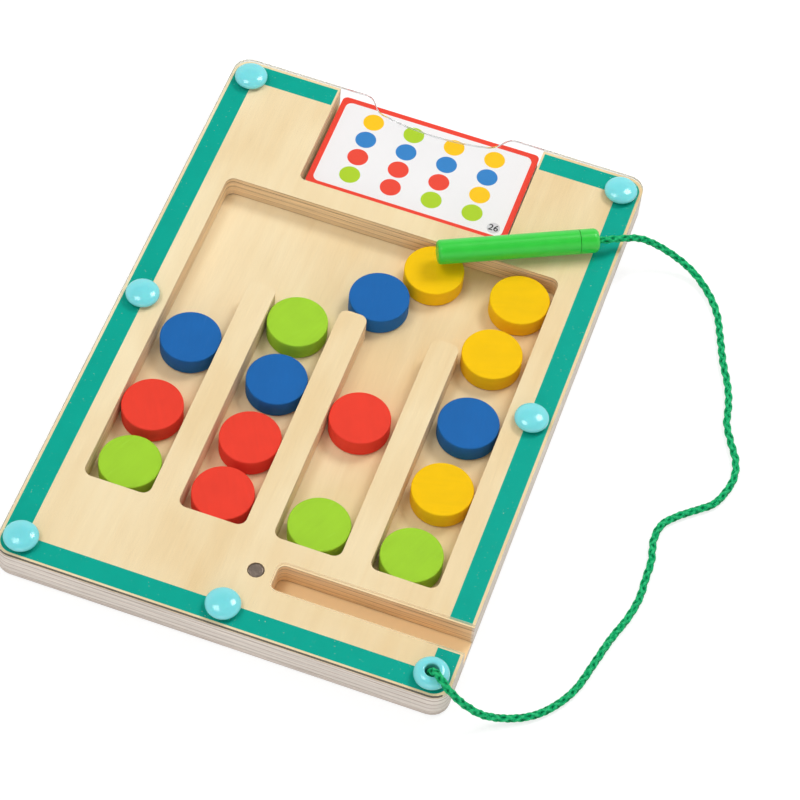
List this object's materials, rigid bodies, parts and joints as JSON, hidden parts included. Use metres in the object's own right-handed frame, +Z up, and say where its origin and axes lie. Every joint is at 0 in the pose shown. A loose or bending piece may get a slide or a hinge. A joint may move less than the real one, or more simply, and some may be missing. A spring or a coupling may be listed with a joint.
{
  "type": "magnetic colour-sorting board",
  "caption": "Plywood maze board with lanes under a clear cover, painted pucks moved by a magnetic pen on a cord, a pattern card in a slot and a pen tray.",
  "frame": {"origin": "middle of the board's underside, on the surface that it lies on", "axes": "+X to the board's right edge where the tray opens, +Y to the back edge with the card slot, +Z up"},
  "size_m": [0.2912, 0.3, 0.0284],
  "materials": {
    "birch_plywood": "clear lacquered birch plywood",
    "clear_plastic": "clear polished acrylic",
    "blue_plastic": "glossy moulded",
    "steel": "plain steel",
    "magnet": "nickel plated",
    "puck_green": "painted, satin",
    "puck_red": "painted, satin",
    "puck_blue": "painted, satin",
    "puck_yellow": "painted, satin",
    "card": "coated card",
    "green_plastic": "satin moulded",
    "green_cord": "braided"
  },
  "bodies": {
    "board": {"base_board": "birch_plywood", "maze_frame": "birch_plywood", "clear_cover": "clear_plastic", "tray_magnet": "magnet", "cord_grommet": "blue_plastic", "cord_knot": "green_cord", "card_stack": "card", "cord": "green_cord", "cap_back_left": "blue_plastic", "screw_back_left": "steel", "cap_back_right": "blue_plastic", "screw_back_right": "steel", "cap_left": "blue_plastic", "screw_left": "steel", "cap_right": "blue_plastic", "screw_right": "steel", "cap_front_left": "blue_plastic", "screw_front_left": "steel", "cap_front": "blue_plastic", "screw_front": "steel"},
    "puck_green_1": {"puck_green_1": "puck_green", "slug_green_1": "steel"},
    "puck_green_2": {"puck_green_2": "puck_green", "slug_green_2": "steel"},
    "puck_green_3": {"puck_green_3": "puck_green", "slug_green_3": "steel"},
    "puck_green_4": {"puck_green_4": "puck_green", "slug_green_4": "steel"},
    "puck_red_1": {"puck_red_1": "puck_red", "slug_red_1": "steel"},
    "puck_red_2": {"puck_red_2": "puck_red", "slug_red_2": "steel"},
    "puck_red_3": {"puck_red_3": "puck_red", "slug_red_3": "steel"},
    "puck_red_4": {"puck_red_4": "puck_red", "slug_red_4": "steel"},
    "puck_blue_1": {"puck_blue_1": "puck_blue", "slug_blue_1": "steel"},
    "puck_blue_2": {"puck_blue_2": "puck_blue", "slug_blue_2": "steel"},
    "puck_blue_3": {"puck_blue_3": "puck_blue", "slug_blue_3": "steel"},
    "puck_blue_4": {"puck_blue_4": "puck_blue", "slug_blue_4": "steel"},
    "puck_yellow_1": {"puck_yellow_1": "puck_yellow", "slug_yellow_1": "steel"},
    "puck_yellow_2": {"puck_yellow_2": "puck_yellow", "slug_yellow_2": "steel"},
    "puck_yellow_3": {"puck_yellow_3": "puck_yellow", "slug_yellow_3": "steel"},
    "puck_yellow_4": {"puck_yellow_4": "puck_yellow", "slug_yellow_4": "steel"},
    "card": {"pattern_card": "card"},
    "pen": {"pen_barrel": "green_plastic", "pen_tail_plug": "green_plastic", "pen_magnet": "magnet", "pen_cord_end": "green_cord"}
  },
  "joints": [
    {"name": "puck_green_1_slide", "type": "slide", "parent": "board", "child": "puck_green_1", "axis": [0, 1, 0], "range_m": [-0.0004, 0.0016]},
    {"name": "puck_green_2_slide", "type": "slide", "parent": "board", "child": "puck_green_2", "axis": [0, 1, 0], "range_m": [-0.0024, 0.0507]},
    {"name": "puck_green_3_slide", "type": "slide", "parent": "board", "child": "puck_green_3", "axis": [0, 1, 0], "range_m": [0, 0.0155]},
    {"name": "puck_green_4_slide", "type": "slide", "parent": "board", "child": "puck_green_4", "axis": [0, 1, 0], "range_m": [0, 0.0042]},
    {"name": "puck_red_1_slide", "type": "slide", "parent": "board", "child": "puck_red_1", "axis": [0, 1, 0], "range_m": [-0.0016, 0.0061]},
    {"name": "puck_red_2_slide", "type": "slide", "parent": "board", "child": "puck_red_2", "axis": [0, 1, 0], "range_m": [0, 0.0016]},
    {"name": "puck_red_3_slide", "type": "slide", "parent": "board", "child": "puck_red_3", "axis": [0, 1, 0], "range_m": [-0.0016, 0.0026]},
    {"name": "puck_red_4_slide", "type": "slide", "parent": "board", "child": "puck_red_4", "axis": [0, 1, 0], "range_m": [-0.015, 0.0395]},
    {"name": "puck_blue_1_slide", "type": "slide", "parent": "board", "child": "puck_blue_1", "axis": [0, 1, 0], "range_m": [-0.0061, 0.0765]},
    {"name": "puck_blue_2_slide", "type": "slide", "parent": "board", "child": "puck_blue_2", "axis": [0, 1, 0], "range_m": [-0.0026, 0.0024]},
    {"name": "puck_blue_3_slide", "type": "slide", "parent": "board", "child": "puck_blue_3", "axis": [0, 1, 0], "range_m": [-0.0046, 0.0057]},
    {"name": "puck_blue_4_slide", "type": "slide", "parent": "board", "child": "puck_blue_4", "axis": [1, 0, 0], "range_m": [-0.0015, 0.0037]},
    {"name": "puck_yellow_1_slide", "type": "slide", "parent": "board", "child": "puck_yellow_1", "axis": [0, 1, 0], "range_m": [-0.0042, 0.0046]},
    {"name": "puck_yellow_2_slide", "type": "slide", "parent": "board", "child": "puck_yellow_2", "axis": [0, 1, 0], "range_m": [-0.0057, 0.0027]},
    {"name": "puck_yellow_3_slide", "type": "slide", "parent": "board", "child": "puck_yellow_3", "axis": [0, 1, 0], "range_m": [-0.0027, 0.0012]},
    {"name": "puck_yellow_4_slide", "type": "slide", "parent": "board", "child": "puck_yellow_4", "axis": [1, 0, 0], "range_m": [0, 0.0135]},
    {"name": "card_slide", "type": "slide", "parent": "board", "child": "card", "axis": [0, 1, 0], "range_m": [0, 0.058]},
    {"name": "pen_lift", "type": "slide", "parent": "board", "child": "pen", "axis": [0, 0, 1], "range_m": [0, 0.1]}
  ]
}
